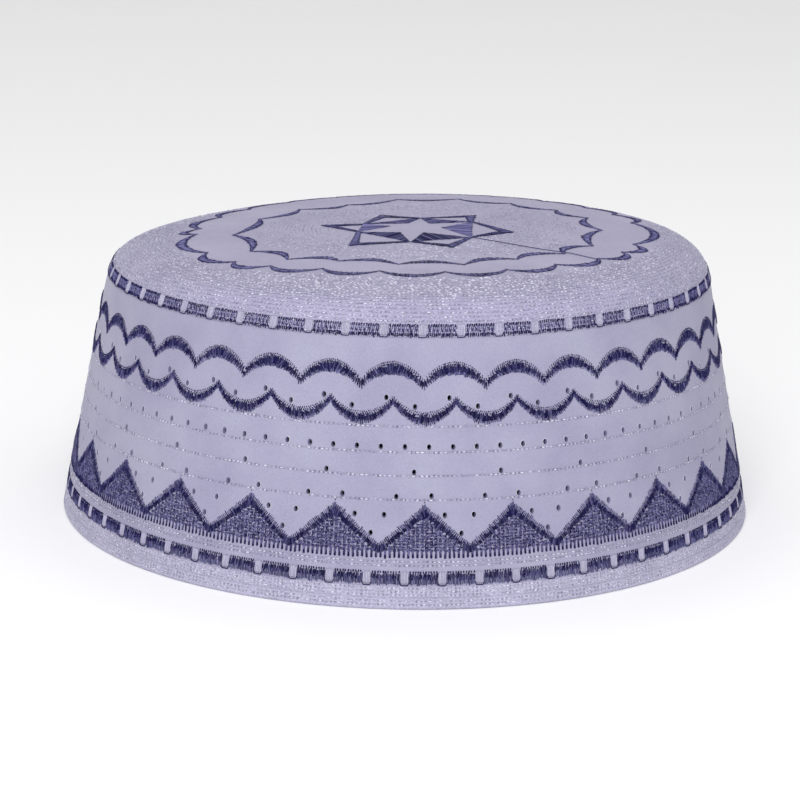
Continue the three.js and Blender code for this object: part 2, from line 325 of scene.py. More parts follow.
clothLook = {
    "smooth": {"light": (150, 149, 171), "shade": (141, 138, 163), "contrast": 0.025, "pinholeShade": 0.7},
    "crown": {"light": (160, 156, 182), "shade": (151, 147, 174), "contrast": 0.14, "pinholeShade": 0.6},
    "hem": {"light": (168, 165, 188), "shade": (159, 156, 179), "contrast": 0.16, "pinholeShade": 0.6},
    "roughness": 0.86,
    "sheen": 0.12,
    "weavePitch": 0.42 * mm,
    "scales": {  # features per metre
        "blotch": 55.0, "fibre": 2600.0, "grain": 2300.0, "pucker": 120.0, "wander": 900.0, "patch": 420.0},
    "reliefs": {"weave": 0.35, "fibre": 1.2, "pucker": 6.0, "pinhole": 3.0, "grain": 6.0},  # in bump depths
    "ranges": {  # of the noises, spread out to whole shares
        "blotch": (0.35, 0.65), "fibre": (0.3, 0.7), "grain": (0.36, 0.64), "wander": (0.3, 0.7),
        "patch": (0.38, 0.62)},
    "fibreTones": (0.95, 1.05),
    "faintest": 0.25,  # of the pinholes
    "wander": 0.12,  # of a stitch
    "pinholeReach": (0.12, 0.36),  # in mm
    # painted shade: the colour that the cloth is darkened towards in the pinholes
    "pinholeShadeColour": (78, 74, 102),
    "grooveReach": 0.55,
    "hollowShade": (74, 72, 108),  # painted shade on the eyelets' walls
    "bump": 0.05 * mm,
    "bumpStrength": 0.9,
}


def clothMaterial(name, colours, alongPitch, acrossPitch):
    material, tree, shader = newMaterial(name, clothLook["roughness"], clothLook["sheen"])
    place = addNode(tree, "ShaderNodeTexCoord").outputs["Object"]
    scales, reliefs, ranges = clothLook["scales"], clothLook["reliefs"], clothLook["ranges"]
    blotch = mapped(tree, noiseOf(tree, place, scales["blotch"]), *ranges["blotch"])
    fibre = noiseOf(tree, place, scales["fibre"], 2.0)
    colour = mixed(tree, blotch, tone(*colours["shade"]), tone(*colours["light"]))
    cloth = layerAxes(tree, "clothUV")
    turnsPerMetre = fullTurn / clothLook["weavePitch"]
    warp, weft = (maths(tree, "SINE", times(tree, cloth[axis], turnsPerMetre)) for axis in "XY")
    height = maths(tree, "MULTIPLY_ADD", times(tree, warp, weft), reliefs["weave"],
                   times(tree, fibre, reliefs["fibre"]))
    pucker = noiseOf(tree, place, scales["pucker"], 2.0)
    height = maths(tree, "MULTIPLY_ADD", pucker, reliefs["pucker"], height)
    # pinholes and a groove along the sewn rows
    cell = layerAxes(tree, "rowUV")
    wander = mapped(tree, noiseOf(tree, place, scales["wander"], 1.0), *ranges["wander"],
                    -clothLook["wander"], clothLook["wander"])
    phase = maths(tree, "FRACT", maths(tree, "ADD", cell["X"], maths(tree, "ADD", wander, 0.5)))
    across = times(tree, maths(tree, "SUBTRACT", phase, 0.5), alongPitch / mm)
    along = times(tree, maths(tree, "ADD", cell["Y"], wander), acrossPitch / mm)
    away = maths(tree, "SQRT", maths(tree, "ADD", times(tree, across, across), times(tree, along, along)))
    hole = mapped(tree, away, *clothLook["pinholeReach"], 1.0, 0.0)
    patch = noiseOf(tree, place, scales["patch"], 1.0)
    patchy = mapped(tree, patch, *ranges["patch"], clothLook["faintest"])
    sewn = attributeOf(tree, "sewn")
    hole = times(tree, times(tree, hole, patchy), sewn)
    groove = mapped(tree, maths(tree, "ABSOLUTE", along), 0.0, clothLook["grooveReach"], 1.0, 0.0)
    height = maths(tree, "SUBTRACT", height, maths(tree, "MULTIPLY_ADD", hole, reliefs["pinhole"], groove))
    # painted shade: the cloth is darkened in each pinhole, where shade falls into it
    colour = mixed(tree, times(tree, hole, colours["pinholeShade"]), colour, tone(*clothLook["pinholeShadeColour"]))
    grain = mapped(tree, noiseOf(tree, place, scales["grain"], 1.0), *ranges["grain"],
                   -colours["contrast"], colours["contrast"])
    fibreTone = mapped(tree, fibre, *ranges["fibre"], *clothLook["fibreTones"])
    speckle = maths(tree, "MULTIPLY_ADD", grain, sewn, fibreTone)
    height = maths(tree, "MULTIPLY_ADD", grain, reliefs["grain"], height)
    # painted shade on the eyelets' walls
    colour = mixed(tree, attributeOf(tree, "hollowShade"), colour, tone(*clothLook["hollowShade"]))
    lit = output(tree, "ShaderNodeVectorMath", {0: colour, "Scale": speckle}, operation="SCALE")
    finishMaterial(tree, shader, lit, height, clothLook["bump"], clothLook["bumpStrength"])
    return material


threadLook = {
    "indigo": {"dark": (12, 9, 62), "pale": (123, 121, 167), "sheen": 0.02, "specular": 0.1},
    "white": {"dark": (150, 147, 172), "pale": (238, 236, 249), "sheen": 0.1, "specular": 0.25},
    "roughness": 0.55,
    "sheenRoughness": 0.35,
    "strand": 3200.0,  # features per metre
    "strandRange": (0.3, 0.7),
    "streak": 0.1,
    "bump": 0.03 * mm,
    "bumpStrength": 0.7,
}


def threadMaterial(name, look):
    material, tree, shader = newMaterial(name, threadLook["roughness"], look["sheen"],
                                         threadLook["sheenRoughness"], look["specular"])
    place = addNode(tree, "ShaderNodeTexCoord").outputs["Object"]
    strand = noiseOf(tree, place, threadLook["strand"], 2.0)
    streak = mapped(tree, strand, *threadLook["strandRange"], -threadLook["streak"], threadLook["streak"])
    share = mapped(tree, maths(tree, "ADD", attributeOf(tree, "shade"), streak), 0.0, 1.0)
    colour = mixed(tree, share, tone(*look["dark"]), tone(*look["pale"]))
    finishMaterial(tree, shader, colour, strand, threadLook["bump"], threadLook["bumpStrength"])
    return material


rowPitch = 1.1 * mm  # between the quilting rows on the crown
stitchPitch = 1.05 * mm  # along them
hemRowPitch = 0.9 * mm
sidePitch = 1.12 * mm  # along the stitch rows on the smooth side

smoothCloth = clothMaterial("smoothCloth", clothLook["smooth"], sidePitch, rowPitch)
crownQuilt = clothMaterial("crownQuilt", clothLook["crown"], stitchPitch, rowPitch)
hemQuilt = clothMaterial("hemQuilt", clothLook["hem"], stitchPitch, hemRowPitch)
indigoThread = threadMaterial("indigoThread", threadLook["indigo"])
whiteThread = threadMaterial("whiteThread", threadLook["white"])
print("materials made")


# Geometry Nodes for stitches, running threads and eyelets

def newTree(name, inputs):
    tree = bpy.data.node_groups.new(name, "GeometryNodeTree")
    tree.interface.new_socket("Geometry", in_out="INPUT", socket_type="NodeSocketGeometry")
    for label, kind in inputs.items():
        tree.interface.new_socket(label, in_out="INPUT", socket_type="NodeSocket" + kind)
    tree.interface.new_socket("Geometry", in_out="OUTPUT", socket_type="NodeSocketGeometry")
    return tree, tree.nodes.new("NodeGroupInput").outputs, tree.nodes.new("NodeGroupOutput").inputs


def named(tree, name, kind="FLOAT"):
    return output(tree, "GeometryNodeInputNamedAttribute", {"Name": name}, data_type=kind)


def turnedBy(tree):  # with X along the stitch and Z away from the cloth
    along, up = (named(tree, name, "FLOAT_VECTOR") for name in ("along", "up"))
    return along, output(tree, "FunctionNodeAxesToRotation", {0: along, 1: up},
                         primary_axis="X", secondary_axis="Z")


def circle(tree, corners, radius):
    return output(tree, "GeometryNodeCurvePrimitiveCircle", {"Resolution": corners, "Radius": radius})


def finishTree(tree, geometry, material, result):  # single mesh, smooth, in its thread
    realised = output(tree, "GeometryNodeRealizeInstances", {"Geometry": geometry})
    smooth = output(tree, "GeometryNodeSetShadeSmooth", {"Geometry": realised})
    done = output(tree, "GeometryNodeSetMaterial", {"Geometry": smooth, "Material": material})
    tree.links.new(done, result["Geometry"])
    return tree


# single stitches stand on loose points, and running threads follow loose edges
def makeSewingTree():
    tree, given, result = newTree("sewingTree", {
        "Stitch sides": "Int", "Bluntness": "Float", "Flatness": "Float", "Thread sides": "Int",
        "Thread": "Material"})
    grain = output(tree, "GeometryNodeMeshUVSphere", {
        "Segments": given["Stitch sides"], "Rings": 3, "Radius": 0.5})
    lying = output(tree, "GeometryNodeTransform", {"Geometry": grain, "Rotation": (0, -math.pi / 2, 0)})
    place = addNode(tree, "ShaderNodeSeparateXYZ", {"Vector": output(tree, "GeometryNodeInputPosition")})
    blunt = times(tree, place.outputs["X"], given["Bluntness"])
    blunt = output(tree, "ShaderNodeClamp", {"Value": blunt, "Min": -0.5, "Max": 0.5})
    full = 2 / math.sqrt(3)  # the sphere's rings, brought out to its width
    wide, tall = (times(tree, place.outputs[axis], full) for axis in "YZ")
    shaped = output(tree, "ShaderNodeCombineXYZ", {"X": blunt, "Y": wide, "Z": tall})
    stitch = output(tree, "GeometryNodeSetPosition", {"Geometry": lying, "Position": shaped})
    along, turned = turnedBy(tree)
    girth = named(tree, "girth")
    length = addNode(tree, "ShaderNodeVectorMath", {0: along}, operation="LENGTH").outputs["Value"]
    thick = times(tree, girth, given["Flatness"])
    size = output(tree, "ShaderNodeCombineXYZ", {"X": length, "Y": girth, "Z": thick})
    single = output(tree, "FunctionNodeCompare", {0: named(tree, "single"), 1: 0.5}, operation="GREATER_THAN")
    sewn = output(tree, "GeometryNodeInstanceOnPoints", {
        "Points": given["Geometry"], "Selection": single, "Instance": stitch, "Rotation": turned,
        "Scale": size})
    lines = output(tree, "GeometryNodeMeshToCurve", {"Mesh": given["Geometry"]})
    section = circle(tree, given["Thread sides"], 0.5)
    threads = output(tree, "GeometryNodeCurveToMesh", {
        "Curve": lines, "Profile Curve": section, "Scale": girth, "Fill Caps": True})
    both = addNode(tree, "GeometryNodeJoinGeometry")
    for part in (sewn, threads):
        tree.links.new(part, both.inputs[0])
    return finishTree(tree, both.outputs[0], given["Thread"], result)


# an upright buttonhole rim of thread on each point
def makeEyeletTree():
    tree, given, result = newTree("eyeletTree", {
        "Hole radius": "Float", "Rim thread": "Float", "Corners": "Int", "Width share": "Float",
        "Thread": "Material"})
    middle = maths(tree, "MULTIPLY_ADD", given["Rim thread"], 0.4, given["Hole radius"])
    ring = circle(tree, given["Corners"], middle)
    section = circle(tree, 3, times(tree, given["Rim thread"], 0.5))
    rim = output(tree, "GeometryNodeCurveToMesh", {"Curve": ring, "Profile Curve": section})
    turned = turnedBy(tree)[1]
    oval = output(tree, "ShaderNodeCombineXYZ", {"X": given["Width share"], "Y": 1.0, "Z": 1.0})
    placed = output(tree, "GeometryNodeInstanceOnPoints", {
        "Points": given["Geometry"], "Instance": rim, "Rotation": turned, "Scale": oval})
    return finishTree(tree, placed, given["Thread"], result)


sewingTree = makeSewingTree()
eyeletTree = makeEyeletTree()


def newBundle():
    lists = {key: [] for key in ("centre", "along", "up", "girth", "shade", "single", "edges")}
    return {**lists, "count": 0}


def addPoints(bundle, centre, along, up, girth, shade, single):
    for key, values in (("centre", centre), ("along", along), ("up", up)):
        bundle[key].append(values)
    for key, values in (("girth", girth), ("shade", shade), ("single", single)):
        bundle[key].append(np.broadcast_to(values, len(centre)))
    bundle["count"] += len(centre)


def pair(first, second):  # places on the flat cloth
    return np.stack(np.broadcast_arrays(first, second), 1)


def tones(rng, middle, spread, count):
    return np.clip(rng.normal(middle, spread, count), 0, 1)


# stitches from each start to its end, given as places on the flat cloth
def sew(bundle, spot, starts, ends, girth, lift, shade):
    middle = (starts + ends) / 2
    point, up = framed(spot, middle[:, 0], middle[:, 1])
    along = spot(ends[:, 0], ends[:, 1]) - spot(starts[:, 0], starts[:, 1])
    addPoints(bundle, point + up * np.reshape(lift, (-1, 1)), along, up, girth, shade, 1.0)


def runThread(bundle, spot, path, girth, lift, shade):
    point, up = framed(spot, path[:, 0], path[:, 1])
    first = bundle["count"]
    addPoints(bundle, point + up * np.reshape(lift, (-1, 1)), np.zeros_like(point), up, girth, shade, 0.0)
    bundle["edges"] += [(first + i, first + i + 1) for i in range(len(path) - 1)]


def linked(name, data):
    piece = bpy.data.objects.new(name, data)
    bpy.context.scene.collection.objects.link(piece)
    return piece


def growPiece(name, bundle, tree, settings):
    mesh = bpy.data.meshes.new(name)
    mesh.from_pydata(np.concatenate(bundle["centre"]).tolist(), bundle["edges"], [])
    for key in ("along", "up", "girth", "shade", "single"):
        kind, field = ("FLOAT_VECTOR", "vector") if key in ("along", "up") else ("FLOAT", "value")
        layer = mesh.attributes.new(key, kind, "POINT")
        layer.data.foreach_set(field, np.concatenate(bundle[key]).astype(float).ravel())
    piece = linked(name, mesh)
    grow = piece.modifiers.new("grow", "NODES")
    grow.node_group = tree
    for item in tree.interface.items_tree:
        if item.in_out == "INPUT" and item.name in settings:
            grow[item.identifier] = settings[item.name]
    graph = bpy.context.evaluated_depsgraph_get()
    grown = bpy.data.meshes.new_from_object(piece.evaluated_get(graph), preserve_all_data_layers=True,
                                            depsgraph=graph)
    piece.modifiers.clear()
    piece.data = grown
    bpy.data.meshes.remove(mesh)
    grown.name = name
    for key in ("along", "up", "girth", "single"):
        if key in grown.attributes:
            grown.attributes.remove(grown.attributes[key])
    return piece


def dress(piece, slotName, *nodes):
    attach(piece, "root")
    if nodes:
        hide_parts(*nodes)
    piece.data.calc_loop_triangles()
    print(piece.name, len(piece.data.loop_triangles), "triangles")


sewingLook = {"sides": 3, "threadSides": 5, "darkBluntness": 1.6, "whiteBluntness": 1.5}


def sewnPiece(name, bundle, thread, bluntness, flatness):
    return growPiece(name, bundle, sewingTree, {
        "Stitch sides": sewingLook["sides"], "Bluntness": bluntness, "Flatness": flatness,
        "Thread sides": sewingLook["threadSides"], "Thread": thread})


def darkPiece(name, bundle, node, flatness=0.65):
    dress(sewnPiece(name, bundle, indigoThread, sewingLook["darkBluntness"], flatness), "thread", node)


def whitePiece(name, bundle, slotName, flatness=0.75):
    dress(sewnPiece(name, bundle, whiteThread, sewingLook["whiteBluntness"], flatness), slotName)


# cloth meshes

def meshFrom(name, points, faces, uvLayers, material, attributes=None):
    mesh = bpy.data.meshes.new(name)
    mesh.from_pydata(points.tolist(), [], faces)
    for layerName, corners in uvLayers.items():
        layer = mesh.uv_layers.new(name=layerName)
        layer.data.foreach_set("uv", np.asarray(corners, float).ravel())
    for key, values in (attributes or {}).items():
        mesh.attributes.new(key, "FLOAT", "POINT").data.foreach_set("value", values)
    mesh.materials.append(material)
    mesh.polygons.foreach_set("use_smooth", [True] * len(mesh.polygons))
    mesh.update()
    return linked(name, mesh)


crownCloth = {
    "turns": 270,
    "groove": 0.2 * mm,
    "puff": 0.06 * mm,
    "proud": 0.12 * mm,  # the crown's edge lies over the side
    "rough": 0.025 * mm,
    "poleCalm": 3,  # how soon the roughness fades to the pole
    "unsewn": 0.25,  # relief left where nothing is sewn
    "pull": 4,
    "edgeRows": 2,
    "phaseStep": 0.618,  # rows start apart so that their stitches don't line up
    "innerRings": 10,
    "innerEnd": 0.985,  # share of the way to the pole
    "seed": 11,
}
rowCount = round(meridianLength / rowPitch)


def rowShare(row):
    return (row + 0.5) / rowCount


def rowPhase(row):
    return row * crownCloth["phaseStep"] % 1


def makeCrownCloth():
    rng = np.random.default_rng(crownCloth["seed"])
    count = crownCloth["turns"]
    turn = np.arange(count) * fullTurn / count
    # a ring on each ridge and one in each groove, from the seam in
    ringRow = [row for row in range(-1, rowCount) for half in range(2)][1:-1]
    ringOff = [0.5 if index % 2 == 0 else 0.0 for index in range(len(ringRow))]
    ringAt = [(row + 0.5 + offset) / rowCount for row, offset in zip(ringRow, ringOff)]
    rings, sewnShares = [], []
    for at, row, offset in zip(ringAt, ringRow, ringOff):
        point, up = framed(crownSpot, turn, np.full(count, at))
        pulled = math.cos(math.pi * offset) ** crownCloth["pull"]
        sewn = quilting(point)
        sewnShares.append(sewn)
        relief = crownCloth["puff"] * (1 - pulled) - crownCloth["groove"] * pulled
        relief = relief * (crownCloth["unsewn"] + (1 - crownCloth["unsewn"]) * sewn)
        calm = min(1, crownCloth["poleCalm"] * (1 - at))
        relief = relief + rng.normal(0, crownCloth["rough"], count) * calm
        relief = relief + crownCloth["proud"] * max(0.0, 1 - at * rowCount / crownCloth["edgeRows"])
        rings.append(point + up * relief[:, None])
    outerRings = len(rings)
    for at in np.linspace(0, crownCloth["innerEnd"], crownCloth["innerRings"])[::-1]:
        point, up = framed(crownSpot, turn, np.full(count, at))
        rings.append(point - up * capForm["clothThickness"])
    points = np.concatenate(rings)
    faces, rowUv, clothUv = [], [], []

    def addRing(first, second, firstUv, secondUv, perTurn, phase=0.0):
        for i in range(count):
            j = (i + 1) % count
            corners = (first * count + i, first * count + j, second * count + j, second * count + i)
            faces.append(corners)
            for corner, step, v in zip(corners, (i, i + 1, i + 1, i), (firstUv, firstUv, secondUv, secondUv)):
                rowUv.append((step / count * perTurn + phase, v))
                clothUv.append(points[corner, :2])

    def closePole(ring, pole, flipped):
        for i in range(count):
            first, second = ring * count + i, ring * count + (i + 1) % count
            corners = (second, first, pole) if flipped else (first, second, pole)
            faces.append(corners)
            rowUv.extend([plainRow] * 3)
            clothUv.extend([points[corners[0], :2]] * 3)
        return points[ring * count:(ring + 1) * count].mean(0)

    plainRow = (0.25, 0.5)  # away from the pinholes
    for ring in range(outerRings - 1):
        onRidge = ringOff[ring] > 0
        row = ringRow[ring] + onRidge
        across = (-0.5, 0.0) if onRidge else (0.0, 0.5)
        addRing(ring, ring + 1, *across, rowStitchCount(row), -rowPhase(row))
    outerPole = closePole(outerRings - 1, len(points), False)
    for ring in range(outerRings, len(rings) - 1):
        addRing(ring, ring + 1, 0.5, 0.5, 1)
    innerPole = closePole(outerRings, len(points) + 1, True)
    addRing(len(rings) - 1, 0, 0.5, 0.5, 1)
    sewn = np.zeros(len(points) + 2)
    sewn[:outerRings * count] = np.concatenate(sewnShares)
    points = np.concatenate([points, [outerPole, innerPole]])
    return meshFrom("crownCloth", points, faces, {"rowUV": rowUv, "clothUV": clothUv}, crownQuilt,
                    {"sewn": sewn})


def rowStitchCount(row):
    ring = crownTable[:-1, int(rowShare(row) * (meridians["shares"] - 1))]
    around = float(np.linalg.norm(np.diff(ring, axis=0, append=ring[:1]), axis=1).sum())
    return max(6, round(around / stitchPitch))


dress(makeCrownCloth(), "quilted_cloth", "crown")

# how many round the cap, the turn of the first in degrees, and the height in mm
eyeletRows = [(35, -3.43, 50.4), (35, 1.27, 48.3), (94, -0.25, 38.8), (26, 1.23, 32.8), (26, -1.47, 27.0),
              (26, 3.98, 27.2), (26, -3.29, 22.6), (26, 6.03, 22.6), (26, 8.58, 18.2)]
eyelet = {"radius": 0.8 * mm, "widthShare": 0.72, "lip": 0.15 * mm, "rimThread": 0.14 * mm, "corners": 9,
          "narrowing": (0.15, 0.45), "shades": (0, 0.7), "lift": 0.02 * mm, "seed": 5}
eyelets = [(math.radians(first + copy * 360 / copies) % fullTurn, height * mm)
           for copies, first, height in eyeletRows for copy in range(copies)]

sideCloth = {
    "rows": [43.6 * mm, 37.5 * mm, 31.9 * mm, 26.2 * mm, 11.5 * mm, 10.55 * mm],  # of white stitches
    "turns": 450,
    "low": 5.15 * mm,
    "high": 65.0 * mm,
    "steps": 60,
    "groove": 0.09 * mm,
    "grooveWidth": 0.8 * mm,
    # how much painted shade the eyelets' walls take at the outer face's edge
    "hollowShadeEdge": 0.6,
    "chartJump": 0.1,  # in metres, longer than any face
}


def sideRelief(height):
    relief = np.zeros_like(height)
    for row in sideCloth["rows"]:
        relief -= sideCloth["groove"] * np.exp(-((height - row) / sideCloth["grooveWidth"]) ** 2)
    return relief


turnStep = 0.0004  # in radians and metres


def sidePoint(turn, height, depth):
    point, up = framed(turnSpot, turn, height, turnStep)
    return point + up * (sideRelief(height) * (depth == 0) - depth)[:, None]


def joinRings(first, second):  # quads between two closed rings of points
    return [(first[a - 1], first[a], second[a], second[a - 1]) for a in [*range(1, len(first)), 0]]


def makeSideCloth():
    count, steps = sideCloth["turns"], sideCloth["steps"]
    turns = np.arange(count) * fullTurn / count
    heights = np.linspace(sideCloth["low"], sideCloth["high"], steps + 1)
    cellTurn, cellHeight = fullTurn / count, (sideCloth["high"] - sideCloth["low"]) / steps
    thickness = capForm["clothThickness"]
    taken = np.zeros((count, steps), bool)
    rng = np.random.default_rng(eyelet["seed"])
    outerChart = [pair(np.tile(turns, steps + 1), np.repeat(heights, count))]
    innerChart = list(outerChart)
    vertexCount = count * (steps + 1)
    holeRings = []
    for turn, height in eyelets:
        i0 = int(turn / cellTurn) - 1
        j0 = int((height - sideCloth["low"]) / cellHeight) - 1
        cells = [((i0 + i) % count, j0 + j) for i in range(3) for j in range(3)]
        if any(taken[i, j] for i, j in cells):
            continue
        for i, j in cells:
            taken[i, j] = True
        border = ([(i0 + i, j0) for i in range(3)] + [(i0 + 3, j0 + j) for j in range(3)]
                  + [(i0 + 3 - i, j0 + 3) for i in range(3)] + [(i0, j0 + 3 - j) for j in range(3)])
        radius = float(outerRadius(np.array(turn), np.array(height)))
        angles = np.array([math.atan2(heights[j] - height, (i * cellTurn - turn) * radius)
                           for i, j in border])
        outer = np.array([(j * count + i % count) for i, j in border])
        lip = eyelet["radius"] + eyelet["lip"]
        narrow = eyelet["radius"] * rng.uniform(*eyelet["narrowing"])
        lipRing = np.arange(len(outer)) + vertexCount
        holeRings.append((outer, lipRing, lipRing + len(outer)))
        vertexCount += 2 * len(outer)
        for reach, inner in ((lip, lip), (eyelet["radius"], narrow)):
            for charts, far in ((outerChart, reach), (innerChart, inner)):
                wide = far * eyelet["widthShare"] / radius
                charts.append(pair(turn + wide * np.cos(angles), height + far * np.sin(angles)))
    (turn, height), (innerTurn, innerHeight) = np.concatenate(outerChart).T, np.concatenate(innerChart).T
    outside = sidePoint(turn, height, 0 * turn)
    inside = sidePoint(innerTurn, innerHeight, 0 * turn + thickness)
    faces = []
    for j in range(steps):
        for i in range(count):
            if not taken[i, j]:
                k = (i + 1) % count
                faces.append((j * count + i, j * count + k, (j + 1) * count + k, (j + 1) * count + i))
    for outer, middle, inner in holeRings:
        faces += joinRings(outer, middle) + joinRings(middle, inner)
    faces += [tuple(reversed([corner + vertexCount for corner in face])) for face in faces]
    for outer, middle, inner in holeRings:
        faces += joinRings(inner, inner + vertexCount)
    top = steps * count
    for i in range(count):
        k = (i + 1) % count
        faces.append((k, i, i + vertexCount, k + vertexCount))
        faces.append((top + i, top + k, top + k + vertexCount, top + i + vertexCount))
    corners = np.array(faces).ravel() % vertexCount
    rim = capForm["rimRadius"]
    run, high = turn[corners] * rim, height[corners]
    start = np.repeat(run[::4], 4)
    jump = sideCloth["chartJump"]
    run = np.where(run - start > jump, run - fullTurn * rim, run)  # across the chart's seam
    run = np.where(start - run > jump, run + fullTurn * rim, run)
    rows = np.array(sideCloth["rows"])
    nearest = rows[np.abs(high.reshape(-1, 4).mean(1)[:, None] - rows).argmin(1)].repeat(4)
    perTurn = np.round(fullTurn * wallRadius(nearest) / sidePitch)
    rowUv = pair(run / rim / fullTurn * perTurn, (high - nearest) / rowPitch)
    points = np.concatenate([outside, inside])
    # painted shade: the eyelets' walls are darkened, part way at the outer face and fully at the inner one
    hollowShade = np.zeros(len(points))
    for outer, middle, inner in holeRings:
        hollowShade[inner] = sideCloth["hollowShadeEdge"]
        hollowShade[inner + vertexCount] = 1
    return meshFrom("sideCloth", points, np.array(faces).tolist(),
                    {"clothUV": pair(run, high), "rowUV": rowUv}, smoothCloth,
                    {"sewn": np.ones(len(points)), "hollowShade": hollowShade})


dress(makeSideCloth(), "smooth_cloth", "side_band")

hemCloth = {
    "turns": 480,
    "proud": 0.18 * mm,
    "rows": [5.2 * mm, 4.35 * mm, 3.55 * mm, 2.15 * mm, 1.25 * mm],  # white stitch rows
    "fold": 2.85 * mm,  # the crease between the two lowest pairs
    "groove": 0.13 * mm,
    "crease": 3.3,  # times as deep
    "rowWidth": 0.24 * mm,
    "creaseWidth": 0.2 * mm,
    "top": 5.7 * mm,
    "foot": 0.75 * mm,  # of the outer face
    "edge": 0.3 * mm,
    "bevel": 0.1 * mm,
    "lip": 0.15 * mm,
    # the rounding of the bottom in mm, out and up: from the inner face, then from the outer one
    "innerFoot": [(0, 0.9), (0.25, 0.3), (0.8, 0)],
    "outerFoot": [(-1.2, 0), (-0.7, 0), (-0.25, 0.12), (0.05, 0.4)],
    "sewnFace": {"outset": -0.2 * mm, "low": 0.7 * mm, "under": 0.2 * mm},  # the part that shows pinholes
    "faceSteps": 26,
    "inner": (4.6 * mm, 1.5 * mm, 3),  # heights down the inside, and how many
}


def hemSection():  # (outset from the wall, height), from the inner top round the bottom to the outer top
    thick, proud = capForm["hemThickness"], hemCloth["proud"]
    outer = []
    for height in np.linspace(hemCloth["foot"], hemCloth["top"] - hemCloth["edge"], hemCloth["faceSteps"]):
        dips = sum(math.exp(-((height - row) / hemCloth["rowWidth"]) ** 2) for row in hemCloth["rows"])
        crease = math.exp(-((height - hemCloth["fold"]) / hemCloth["creaseWidth"]) ** 2)
        outer.append((proud - hemCloth["groove"] * (dips + hemCloth["crease"] * crease), height))
    bottom = [(out * mm - thick, up * mm) for out, up in hemCloth["innerFoot"]]
    bottom += [(out * mm, up * mm) for out, up in hemCloth["outerFoot"]]
    top = [(proud - hemCloth["bevel"], hemCloth["top"] - hemCloth["bevel"]),
           (-hemCloth["lip"], hemCloth["top"]), (-thick, hemCloth["top"] - hemCloth["edge"])]
    inner = [(-thick, height) for height in np.linspace(*hemCloth["inner"])]
    return [*outer, *top, *inner, *bottom]


def makeHemCloth():
    count = hemCloth["turns"]
    turn = np.arange(count) * fullTurn / count
    section, face = hemSection(), hemCloth["sewnFace"]
    rings = [settle(turn, wallRadius(height) + outset + 0 * turn, height + 0 * turn)
             for outset, height in section]
    points = np.concatenate(rings)
    perTurn = round(fullTurn * capForm["rimRadius"] / stitchPitch)
    faces, rowUv, clothUv = [], [], []
    walked = 0.0
    for ring in range(len(section)):
        after = (ring + 1) % len(section)
        (a0, h0), (a1, h1) = section[ring], section[after]
        step = math.hypot(a1 - a0, h1 - h0)
        onFace = a0 > face["outset"] and face["low"] < h0 < hemCloth["top"] - face["under"]
        nearest = min(hemCloth["rows"], key=lambda row: abs((h0 + h1) / 2 - row))
        v0, v1 = ((h0 - nearest) / hemRowPitch, (h1 - nearest) / hemRowPitch) if onFace else (0.5, 0.5)
        for i in range(count):
            j = (i + 1) % count
            faces.append((ring * count + i, ring * count + j, after * count + j, after * count + i))
            for corner, v, w in zip((i, i + 1, i + 1, i), (v0, v0, v1, v1), (0, 0, step, step)):
                rowUv.append((corner / count * perTurn, v))
                clothUv.append((corner / count * fullTurn * capForm["rimRadius"], walked + w))
        walked += step
    return meshFrom("hemCloth", points, faces, {"rowUV": rowUv, "clothUV": clothUv}, hemQuilt,
                    {"sewn": np.ones(len(points))})


dress(makeHemCloth(), "quilted_cloth", "hem_band")
print("cloth made")


# white stitching

crownStitching = {
    "seed": 21, "girth": 0.36 * mm, "length": 0.64 * mm, "lift": 0.0, "slant": 0.1 * mm, "wander": 0.07 * mm,
    "drift": 0.24, "glint": 0.45,
    "split": 0.30,  # between the shoulder's piece and the top's
    "calmFrom": (0.42, 0.62), "calmBright": (0.6, 0.42),  # calmer round the star
    "patches": (0.15, 0.6),
}


vary = {"length": 0.15, "girth": 0.12, "lift": 0.04 * mm, "glintPower": 1.35}  # from stitch to stitch


def stitchRow(bundle, spot, perTurn, level, style, unit, rng, phase=0.0, keep=None):
    turns = (np.arange(perTurn) + 0.5 + phase + rng.normal(0, style["drift"], perTurn)) / perTurn * fullTurn
    half = style["length"] / 2 * (1 + rng.normal(0, vary["length"], perTurn)) / unit["run"]
    wander = level + rng.normal(0, style["wander"], perTurn) / unit["rise"]
    slant = rng.normal(0, style["slant"], perTurn) / unit["rise"]
    starts = pair((turns - half) * unit["scale"], wander - slant)
    ends = pair((turns + half) * unit["scale"], wander + slant)
    thick = style["girth"] * (1 + rng.normal(0, vary["girth"], perTurn))
    lift = style["lift"] + rng.normal(0, vary["lift"], perTurn)
    glints = rng.random(perTurn) ** vary["glintPower"]  # a few catch the light far more than the rest
    # painted highlight: stitches towards the front are painted brighter by glint, as where the lamps catch
    # them
    shade = glints * style["bright"] * (1 + style["glint"] * np.cos(turns))
    if keep is not None:
        kept = keep(spot(turns * unit["scale"], np.full(perTurn, level)), rng)
        starts, ends, thick, lift, shade = (part[kept] for part in (starts, ends, thick, lift, shade))
    if len(starts):
        sew(bundle, spot, starts, ends, thick, lift, shade)


def sewCrown():
    rng = np.random.default_rng(crownStitching["seed"])
    shoulder, top = newBundle(), newBundle()
    keep = lambda point, rng: quilting(point) > rng.uniform(*crownStitching["patches"], len(point))
    for row in range(rowCount - 1):
        share = rowShare(row)
        perTurn = rowStitchCount(row)
        unit = {"run": perTurn * stitchPitch / fullTurn, "rise": meridianLength, "scale": 1}
        bright = np.interp(share, crownStitching["calmFrom"], crownStitching["calmBright"])
        bundle = shoulder if share < crownStitching["split"] else top
        style = dict(crownStitching, bright=bright)
        stitchRow(bundle, crownSpot, perTurn, share, style, unit, rng, rowPhase(row), keep)
    whitePiece("shoulderStitches", shoulder, "quilted_cloth")
    whitePiece("topStitches", top, "quilted_cloth")


